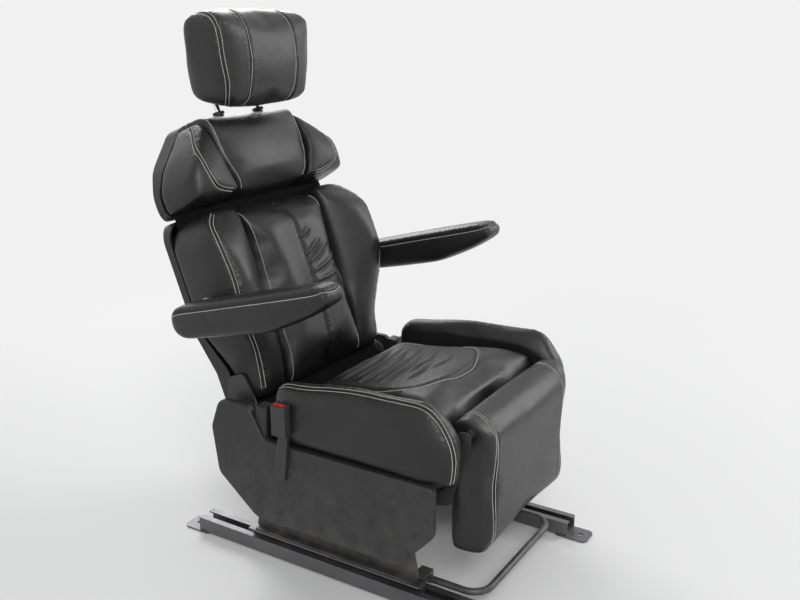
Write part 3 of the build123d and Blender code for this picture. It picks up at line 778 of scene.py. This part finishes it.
def curved_panel(name, material, slot, place, span, rows, thickness, turn=lambda x, f: f):
    """A strip across span that follows rows of (forward, up), in millimetres, and that
    turn may bend forward or back along its width."""
    bpy.ops.mesh.primitive_grid_add(x_subdivisions=40, y_subdivisions=16, size=2)
    panel = bpy.context.active_object
    panel.name = panel.data.name = name
    grid = points_of(panel)
    path = smooth_line(world(FLOOR, [(0, f, u) for f, u in rows]), step=0.001)
    spots = local(FLOOR, path)
    t = (grid[:, 1] + 1) / 2 * (len(spots) - 1)
    steps = np.arange(len(spots))
    forward, up = np.interp(t, steps, spots[:, 1]), np.interp(t, steps, spots[:, 2])
    across = np.interp(grid[:, 0], (-1, 1), span)
    move_points(panel, world(place, np.column_stack([across, turn(across, forward), up])))
    wall = panel.modifiers.new("Wall", "SOLIDIFY")
    wall.thickness = thickness * MM
    wall.offset = 0
    rim = panel.modifiers.new("Rim", "BEVEL")
    rim.width = 0.3 * thickness * MM
    rim.segments = 3
    rim.limit_method = "ANGLE"
    apply_modifiers(panel)
    edit(panel)
    bpy.ops.mesh.normals_make_consistent(inside=False)
    leave_edit()
    bpy.ops.object.shade_smooth()
    finish(panel, material)
    return panel


def shoulder_seam(up):
    """Half width of the shoulder section's middle panel at a height."""
    low, high = SHOULDER_SEAMS
    return low + (high - low) * eased(SHOULDER_LOW + 10, SHOULDER_LOW + 100, up)


class CHAIR_OT_cushion(bpy.types.Operator):
    """Cushion with a wrinkled tongue-shaped middle between two raised bolsters"""

    bl_idname = "chair.cushion"
    bl_label = "Cushion"

    # Half of the tongue's sewn outline, from its rear corner to the middle of its front
    TONGUE = [(-138, -104, 372), (-145, -20, 390), (-147, 80, 400), (-128, 142, 402),
              (-70, 172, 402), (0, 180, 402)]
    # Folds across the tongue as (right end, left end, bow, share of the wrinkle height)
    FOLDS = [((-112, -66), (76, -84), 12, 0.9), ((-122, -40), (96, -60), 15, 1.15),
             ((-104, -16), (106, -34), 17, 1.0), ((-126, 8), (92, -12), 18, 1.3),
             ((-98, 32), (112, 12), 19, 1.1), ((-120, 58), (84, 34), 19, 1.15),
             ((-76, 76), (108, 58), 17, 0.8), ((-104, 100), (40, 84), 14, 0.75),
             ((-30, 118), (88, 108), 10, 0.5)]

    def centre_room(self, x, f, u):
        """Crowns the middle, rolls the side edges over and keeps behind the footrest."""
        x = np.clip(x, -CUSHION_SEAM, CUSHION_SEAM)
        crown = 5 * np.exp(-(x / 110)**2) * eased(300, 380, u)
        side, u = rolled(np.abs(x), u + crown, CUSHION_SEAM, CUSHION_TOP, radius=26)
        return np.sign(x) * side, np.minimum(f, CUSHION_FRONT), u

    def execute(self, context):
        sizes = context.scene.chair_sizes
        centre = pad("cushion_centre", "cushion_middle", FLOOR, self.centre_room,
                     lambda x, f, u: u < CUSHION_HELD, cap=14 * MM)
        tongue = self.TONGUE + on_side(-1, self.TONGUE[-2::-1])
        outline = sew(centre, FLOOR, tongue, depth=3.2, width=4.0)
        for right, left, bow, height in self.FOLDS:
            middle = ((right[0] + left[0]) / 2, (right[1] + left[1]) / 2 + bow)
            rows = [(*right, 400), (*middle, 400), (*left, 400)]
            fold(centre, FLOOR, rows, height=height * sizes.wrinkle / MM, width=6.4)
        rub(centre, FLOOR, [(-150, 236, 390), (0, 240, 396), (150, 236, 390)], width=16)
        rub(centre, FLOOR, [(-60, 60, 400), (0, 90, 400), (60, 60, 400)], width=28, amount=0.5)
        dress(centre, "seat", "cushion_centre")
        topstitch(centre, "cushion_stitches", "seat", [(outline, (4.5,))])

        left = pad("cushion_bolster_left", "cushion_bolster_pad_left", FLOOR,
                   lambda x, f, u: (np.maximum(x, CUSHION_SEAM), f, u),
                   lambda x, f, u: u < CUSHION_HELD, calm=44)
        edge = [(247, -96, 418), (255, -30, 430), (257, 60, 446), (257, 150, 454), (256, 220, 450),
                (254, 270, 430), (252, 296, 395), (250, 303, 350), (250, 303, 300)]
        line = sew(left, FLOOR, edge, depth=2.4)
        rub(left, FLOOR, [(238, -60, 430), (240, 60, 450), (240, 180, 455), (240, 270, 430)], width=13)
        both_sides(left, "cushion_bolster_left", "seat", "bolster_stitches_left", line, (-4.5, 4.5))
        return {"FINISHED"}


class CHAIR_OT_backrest(bpy.types.Operator):
    """Lower backrest: a middle pad with one upright seam, and a bolster on each side"""

    bl_idname = "chair.backrest"
    bl_label = "Backrest"

    # Creases that fan out from the upright seam, as (start, middle, end), each (across, up)
    CREASES = [((6, 236), (36, 240), (92, 262)), ((8, 256), (34, 268), (74, 290)),
               ((4, 272), (24, 286), (56, 302)), ((8, 214), (46, 216), (104, 232)),
               ((6, 312), (18, 322), (34, 330)), ((30, 226), (60, 234), (106, 256)),
               ((-10, 228), (-34, 236), (-60, 250)), ((4, 196), (40, 196), (84, 204)),
               ((-8, 292), (-20, 300), (-34, 306))]

    def centre_room(self, x, d, w):
        """Keeps between the seams, puffs out each half and rolls the top edge over."""
        x = np.clip(x, -BACK_SEAM, BACK_SEAM)
        across = np.abs(x) / BACK_SEAM
        middle = eased(20, 120, w) * eased(BACK_TOP, 350, w)
        d = d + 6 * np.sin(np.pi * across) * eased(20, 70, d) * middle
        drop = 13 * across**2
        w = np.minimum(w, BACK_TOP + 1) - drop * eased(330, BACK_TOP, w)
        d, w = rolled(np.maximum(d, BACK_REAR), w, 95, BACK_TOP + 1 - drop, radius=42)
        return x, d, w

    def bolster_room(self, x, d, w):
        """Keeps outside the seam and off the armrest, and rolls the upper corner over."""
        x, w = np.clip(x, BACK_SEAM, BACK_SIDE), np.minimum(w, BACK_TOP + 1)
        x, w = rolled(x, w, BACK_SIDE, BACK_TOP + 1, radius=75)
        d, w = rolled(np.maximum(d, BACK_REAR), w, 124, BACK_TOP + 1, radius=60)
        return x, d, w

    def execute(self, context):
        sizes = context.scene.chair_sizes
        centre = pad("back_centre", "back_middle", BACK, self.centre_room,
                     lambda x, d, w: d < BACK_HELD, cap=14 * MM)
        upright = [(0, 70, 416), (0, 86, 396), (0, 90, 300), (0, 88, 190), (0, 82, 60), (0, 66, 24)]
        sew(centre, BACK, upright, depth=3.4, width=3.6)
        for crease in self.CREASES[:sizes.creases]:
            height = (0.9 if crease[0][0] > 0 else 0.45) * sizes.wrinkle / MM
            fold(centre, BACK, [(x, 90, w) for x, w in crease], height=height, width=4.6)
        dress(centre, "backrest", "back_centre")
        beside = smooth_line(world(BACK, [(126, 70, 412), (127, 86, 392), (127, 90, 300),
                                          (127, 88, 190), (127, 82, 60), (127, 66, 30)]))
        beside = [(beside, (0,)), (beside * (-1, 1, 1), (0,))]
        topstitch(centre, "back_stitches", "backrest", beside)

        left = pad("back_bolster_left", "back_bolster_pad_left", BACK, self.bolster_room,
                   lambda x, d, w: (d < BACK_HELD) | ((d < 40) & (w > 376)), cap=12 * MM)
        edge = [(206, 84, 414), (232, 96, 400), (246, 106, 372), (250, 114, 330), (250, 118, 270),
                (248, 112, 225), (240, 102, 190), (226, 92, 150), (214, 82, 110), (208, 60, 50)]
        line = sew(left, BACK, edge)
        rub(left, BACK, [(225, 120, 350), (226, 128, 290), (222, 120, 220)], width=16, amount=0.6)
        both_sides(left, "back_bolster_left", "backrest", "back_bolster_stitches_left", line,
                   (-4.2, 4.2))
        return {"FINISHED"}


class CHAIR_OT_shoulders(bpy.types.Operator):
    """Tilting shoulder section: a middle pad between two plump wings"""

    bl_idname = "chair.shoulders"
    bl_label = "Shoulders"

    def rounded_under(self, d, w, front):
        """Keeps above the sloping hinge gap and rounds the lower front edge."""
        foot = SHOULDER_LOW + np.maximum(d - 15, 0) * HINGE_SLOPE - 1
        d, below = rolled(np.maximum(d, BACK_REAR), foot - np.maximum(w, foot), front, 0, radius=34)
        return d, foot - below

    def centre_room(self, x, d, w):
        seam = shoulder_seam(w)
        x = np.clip(x, -seam, seam)
        plump = np.cos(x / seam * np.pi / 2) * eased(430, 480, w) * eased(610, 560, w)
        return x, *self.rounded_under(d + 8 * plump * eased(20, 80, d), w, 104)

    def wing_room(self, x, d, w):
        return np.maximum(x, shoulder_seam(w)), *self.rounded_under(d, w, 120)

    def centre_held(self, x, d, w):
        """The rear face and the edges of the two post guides."""
        return (d < BACK_HELD) | (np.hypot(np.abs(x) - 63, d - 46) < 18)

    def execute(self, context):
        centre = pad("shoulder_centre", "shoulder_middle", BACK, self.centre_room, self.centre_held)
        rows = [(-146, 14, 609), (-70, 12, 611), (0, 12, 611), (70, 12, 611), (146, 14, 609)]
        top = sew(centre, BACK, rows, depth=1.8)
        dress(centre, "shoulders", "shoulder_centre")
        rows = [(90, 436), (94, 460), (94, 490), (93, 520), (90, 560), (84, 590), (66, 606), (40, 612)]
        beside = smooth_line(world(BACK, [(shoulder_seam(w) - 6, d, w) for d, w in rows]))
        topstitch(centre, "shoulder_stitches", "shoulders",
                  [(beside, (0,)), (beside * (-1, 1, 1), (0,)), (top, (4.0,))])

        left = pad("shoulder_wing_left", "shoulder_wing_pad_left", BACK, self.wing_room,
                   lambda x, d, w: d < BACK_HELD)
        edge = [(160, 40, 596), (180, 58, 582), (200, 76, 556), (210, 100, 512), (209, 114, 478),
                (198, 114, 450), (172, 108, 438), (142, 98, 434)]
        line = sew(left, BACK, edge)
        both_sides(left, "shoulder_wing_left", "shoulders", "wing_stitches_left", line, (-4.2, 4.2))
        return {"FINISHED"}


class CHAIR_OT_headrest(bpy.types.Operator):
    """Broad headrest with two front seams and double-stitched corners"""

    bl_idname = "chair.headrest"
    bl_label = "Headrest"

    def execute(self, context):
        head = pad("headrest_pad", "headrest_leather", HEAD, lambda x, f, u: (x, f, u),
                   lambda x, f, u: np.zeros(len(u)), cap=8 * MM)
        inner = [(70, -14, 210), (71, 40, 218), (72, 86, 210), (73, 104, 178), (74, 108, 115),
                 (73, 106, 60), (71, 90, 22), (68, 56, 12), (66, 20, 14)]
        corner = [(116, -14, 204), (128, 20, 214), (140, 56, 206), (146, 84, 178), (146, 92, 140),
                  (137, 90, 95), (120, 82, 50), (100, 58, 24), (78, 26, 14)]
        lines = []
        for side in (1, -1):
            lines.append((sew(head, HEAD, on_side(side, inner), depth=2.6), (4.2 * side,)))
            lines.append((sew(head, HEAD, on_side(side, corner)), (-4.4, 4.4)))
        dress(head, "headrest", "headrest_pad")
        topstitch(head, "headrest_stitches", "headrest", lines)
        return {"FINISHED"}


class CHAIR_OT_armrests(bpy.types.Operator):
    """Armrests with one seam that follows the top edge round the nose"""

    bl_idname = "chair.armrests"
    bl_label = "Armrests"

    def execute(self, context):
        left = pad("armrest_left", "armrest_pad_left", ARM,
                   lambda x, f, u: (np.maximum(x, ARM_INNER - 2), f, u),
                   lambda x, f, u: (np.hypot(f, u) < 16) & (x < ARM_INNER + 40),
                   cap=4 * MM, start=2 * MM, rounding=5)
        inner, outer, up, nose = ARM_INNER - 1, ARM_OUTER + 1, 19, ARM_LENGTH - 10
        rows = [(inner, -22, up), (inner, 150, up), (inner, nose - 34, up), (inner + 8, nose, up),
                ((inner + outer) / 2, nose + 12, up), (outer - 8, nose, up), (outer, nose - 34, up),
                (outer, 150, up), (outer, -22, up)]
        line = sew(left, ARM, rows, depth=2.0, width=2.8)
        middle = (inner + outer) / 2
        rub(left, ARM, [(middle, 40, 32), (middle, 180, 32), (middle, ARM_LENGTH - 30, 30)], width=22)
        both_sides(left, "armrest_left", "armrest_left", "armrest_stitches_left", line, (4.0,))
        return {"FINISHED"}


class CHAIR_OT_footrest(bpy.types.Operator):
    """Footrest that hangs before the cushion, with two seams over its rounded lip"""

    bl_idname = "chair.footrest"
    bl_label = "Footrest"

    def execute(self, context):
        rest = pad("ottoman_pad", "footrest_leather", FLOOR,
                   lambda x, f, u: (np.clip(x, -198, 198), np.maximum(f, 254), u),
                   lambda x, f, u: f < 262, cap=6 * MM)
        rub(rest, FLOOR, [(-150, 300, 408), (0, 302, 410), (150, 300, 408)], width=18, amount=0.6)
        edge = [(150, 262, 396), (150, 290, 412), (152, 320, 396), (154, 332, 360), (155, 332, 280),
                (155, 331, 200), (155, 324, 138), (155, 300, 120)]
        lines = [(sew(rest, FLOOR, on_side(side, edge), depth=2.4), (-4.2, 4.2)) for side in (1, -1)]
        dress(rest, "ottoman", "ottoman_pad")
        topstitch(rest, "footrest_stitches", "ottoman", lines)
        return {"FINISHED"}


class CHAIR_OT_trim(bpy.types.Operator):
    """Cover screws, the two hinge linings, covers low behind the cushion and the map pocket"""

    bl_idname = "chair.trim"
    bl_label = "Trim"

    COVER_FACE = 262
    SHELL_FACE = -50
    SCREWS = ((-180, 240), (60, 240))

    def screw(self, radius):
        """Pan-head screw with a cross recess, its head along +Z at the origin."""
        bpy.ops.mesh.primitive_cylinder_add(vertices=40, radius=radius, depth=0.7 * radius,
                                            location=(0, 0, 0.2 * radius))
        head = bpy.context.active_object
        dome = head.modifiers.new("Dome", "BEVEL")
        dome.width, dome.segments, dome.limit_method = 0.3 * radius, 5, "ANGLE"
        bars = []
        for size in ((1.1, 0.22, 0.5), (0.22, 1.1, 0.5)):
            bpy.ops.mesh.primitive_cube_add(size=radius, location=(0, 0, 0.55 * radius))
            bar = bpy.context.active_object
            bpy.ops.transform.resize(value=size, center_override=(0, 0, 0.55 * radius))
            bpy.ops.object.transform_apply(location=False, rotation=False, scale=True)
            recess = head.modifiers.new("Recess", "BOOLEAN")
            recess.object, recess.solver = bar, "EXACT"
            bars.append(bar)
        apply_modifiers(head)
        only(bars[0])
        for bar in bars:
            bar.select_set(True)
        bpy.ops.object.delete()
        return head

    def cover(self, name, body, place, span, rows, thickness, **turn):
        """A strip of the covers' plastic that rides a body."""
        strip = curved_panel(name, "Covers", "moulded_plastic", place, span, rows, thickness, **turn)
        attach(strip, body)

    def execute(self, context):
        first = self.screw(context.scene.chair_sizes.screw)
        copies = []
        for side in (1, -1):
            for y, z in self.SCREWS:
                copy = duplicate(first, "cover_screw")
                bpy.ops.transform.rotate(value=side * math.radians(90), orient_axis="Y",
                                         center_override=(0, 0, 0))
                bpy.ops.transform.translate(value=(side * self.COVER_FACE * MM, y * MM, z * MM))
                copies.append(copy)
        only(first)
        bpy.ops.object.delete()
        only(copies[0])
        for copy in copies:
            copy.select_set(True)
        bpy.ops.object.join()
        screws = context.active_object
        bpy.ops.object.transform_apply(location=True, rotation=True, scale=True)
        bpy.ops.object.shade_smooth_by_angle(angle=math.radians(35))
        screws.name = screws.data.name = "cover_screws"
        finish(screws, "Paint")
        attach(screws, "seat")

        # The hinge gusset and the closing flap are real fabric parts, and their Lining is darkened as
        # painted shade for the gaps between pads.
        rows = [(30, 392), (32, 408), (33, 419), (33, 424), (30, 431)]
        gusset = curved_panel("hinge_gusset", "Lining", "leather", BACK, (-236, 236), rows, 1.6,
                              turn=lambda x, f: f - 30 * eased(206, 236, np.abs(x)))
        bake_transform(gusset)

        rows = [(-115, 338), (-119, 327), (-132, 319), (-154, 323), (-180, 338), (-204, 329)]
        flap = curved_panel("closing_flap", "Lining", "leather", FLOOR, (-213, 213), rows, 2.0)
        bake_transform(flap)

        rows = [(-119, 296), (-123, 310), (-138, 314), (-158, 311), (-176, 301), (-186, 285),
                (-188, 259)]
        self.cover("rear_valance", "seat", FLOOR, (-213, 213), rows, 3.0)
        rows = [(-116, 362), (-118, 330), (-121, 298), (-130, 276), (-150, 266), (-186, 268)]
        self.cover("inner_cover_left", "seat", FLOOR, (225, 256), rows, 2.4)
        self.cover("inner_cover_right", "seat", FLOOR, (-256, -225), rows, 2.4)
        rows = [(-131, 356), (-133, 330), (-137, 296), (-144, 270)]
        self.cover("corner_filler_left", "seat", FLOOR, (226, 255), rows, 26)
        self.cover("corner_filler_right", "seat", FLOOR, (-255, -226), rows, 26)

        face = self.SHELL_FACE
        rows = [(face - 1, 106), (face - 9, 113), (face - 14, 150), (face - 17, 230), (face - 18, 312),
                (face - 17, 326), (face - 14, 331), (face - 12, 326)]
        self.cover("map_pocket", "backrest", BACK, (-158, 158), rows, 3.0,
                   turn=lambda x, f: face + (f - face) * (1 - (np.abs(x) / 160)**9))
        return {"FINISHED"}


class CHAIR_OT_studio(bpy.types.Operator):
    """Pale floor, soft lamps and the camera at the photograph's place"""

    bl_idname = "chair.studio"
    bl_label = "Studio"

    BACKDROP = (0.88, 0.88, 0.88, 1)
    SKY = (0.96, 0.97, 1.0, 1)
    SKY_STRENGTH = 0.46
    # The floor fades into the backdrop between these distances from the chair.
    FADE_START, FADE_END = 0.9, 2.6
    CAMERA_PLACE = (-1.55, -0.994, 1.08)
    CAMERA_AIM = (0.02, -0.02, 0.53)
    # Lamps as (name, place, aim, width, height, watts)
    LAMPS = [("Key", (-2.5, -2.0, 2.5), (0, 0, 0.7), 1.4, 1.6, 62),
             ("Front", (2.7, -2.1, 2.0), (0, 0, 0.7), 1.3, 2.0, 46),
             ("Rear", (1.9, 2.5, 2.3), (0, 0.1, 0.6), 2.0, 1.5, 52)]

    def seen(self, tree):
        """1 for what the camera sees, also in a mirror or through glass."""
        ray = node(tree, "ShaderNodeLightPath").outputs
        direct = maths(tree, "MAXIMUM", ray["Is Camera Ray"], ray["Is Glossy Ray"])
        return maths(tree, "MAXIMUM", direct, ray["Is Transmission Ray"])

    def floor(self, context):
        """A floor whose far parts glow as bright as the backdrop."""
        bpy.ops.mesh.primitive_plane_add(size=12, location=(0, 0, 0))
        floor = context.active_object
        floor.name = "studio_floor"
        tree, shader = blank("Studio floor", Base_Color=(*context.scene.chair_colours.floor, 1),
                             Roughness=0.6)
        glow = node(tree, "ShaderNodeEmission", Color=self.BACKDROP, Strength=1.0)
        reach = node(tree, "ShaderNodeVectorMath", [object_place(tree)], operation="LENGTH")
        fade = ranged(tree, reach.outputs["Value"], From_Min=self.FADE_START, From_Max=self.FADE_END,
                      interpolation_type="SMOOTHSTEP")
        far = maths(tree, "MULTIPLY", fade, self.seen(tree))
        mix = node(tree, "ShaderNodeMixShader", [far, shader.outputs[0], glow.outputs[0]])
        wire(tree, tree.nodes["Material Output"], Surface=mix.outputs[0])
        finish(floor, "Studio floor")

    def sky(self, context):
        """Soft light from all round, with the plain backdrop where the camera looks."""
        context.scene.world = bpy.data.worlds.new("Studio")
        context.scene.world.use_nodes = True
        tree = context.scene.world.node_tree
        light = tree.nodes["Background"]
        wire(tree, light, Color=self.SKY, Strength=self.SKY_STRENGTH)
        backdrop = node(tree, "ShaderNodeBackground", Color=self.BACKDROP, Strength=1.0)
        mix = node(tree, "ShaderNodeMixShader",
                   [self.seen(tree), light.outputs[0], backdrop.outputs[0]])
        wire(tree, tree.nodes["World Output"], Surface=mix.outputs[0])

    def aimed(self, context, name, data, place, aim):
        """A lamp or camera at a place, turned to face its aim."""
        holder = bpy.data.objects.new(name, data)
        context.collection.objects.link(holder)
        holder.location = place
        holder.rotation_euler = (Vector(aim) - Vector(place)).to_track_quat("-Z", "Y").to_euler()
        return holder

    def execute(self, context):
        scene = context.scene
        self.floor(context)
        self.sky(context)
        for name, place, aim, width, height, watts in self.LAMPS:
            lamp = bpy.data.lights.new(name, "AREA")
            lamp.shape, lamp.size, lamp.size_y, lamp.energy = "RECTANGLE", width, height, watts
            self.aimed(context, name, lamp, place, aim)
        lens = bpy.data.cameras.new("Camera")
        lens.lens = scene.chair_sizes.lens
        scene.camera = self.aimed(context, "Camera", lens, self.CAMERA_PLACE, self.CAMERA_AIM)
        scene.view_settings.view_transform = "Standard"
        return {"FINISHED"}


class CHAIR_PT_panel(bpy.types.Panel):
    """Lists the chair's sizes, colours and steps"""

    bl_idname = "CHAIR_PT_panel"
    bl_label = "Captain's chair"
    bl_space_type = "VIEW_3D"
    bl_region_type = "UI"
    bl_category = "Chair"

    def draw(self, context):
        for group in (context.scene.chair_sizes, context.scene.chair_colours):
            for name in group.bl_rna.properties.keys():
                if name not in ("rna_type", "name"):
                    self.layout.prop(group, name)
        for step in STEPS:
            self.layout.operator(step.bl_idname)


STEPS = (CHAIR_OT_finishes, CHAIR_OT_cushion, CHAIR_OT_backrest, CHAIR_OT_shoulders, CHAIR_OT_headrest,
         CHAIR_OT_armrests, CHAIR_OT_footrest, CHAIR_OT_trim, CHAIR_OT_studio)
CLASSES = (ChairSizes, ChairColours, *STEPS, CHAIR_PT_panel)


def register():
    for item in CLASSES:
        bpy.utils.register_class(item)
    bpy.types.Scene.chair_sizes = PointerProperty(type=ChairSizes)
    bpy.types.Scene.chair_colours = PointerProperty(type=ChairColours)


def unregister():
    del bpy.types.Scene.chair_colours
    del bpy.types.Scene.chair_sizes
    for item in reversed(CLASSES):
        bpy.utils.unregister_class(item)


def main():
    register()
    for step in STEPS:
        family, call = step.bl_idname.split(".")
        getattr(getattr(bpy.ops, family), call)()


if __name__ == "__main__":
    main()
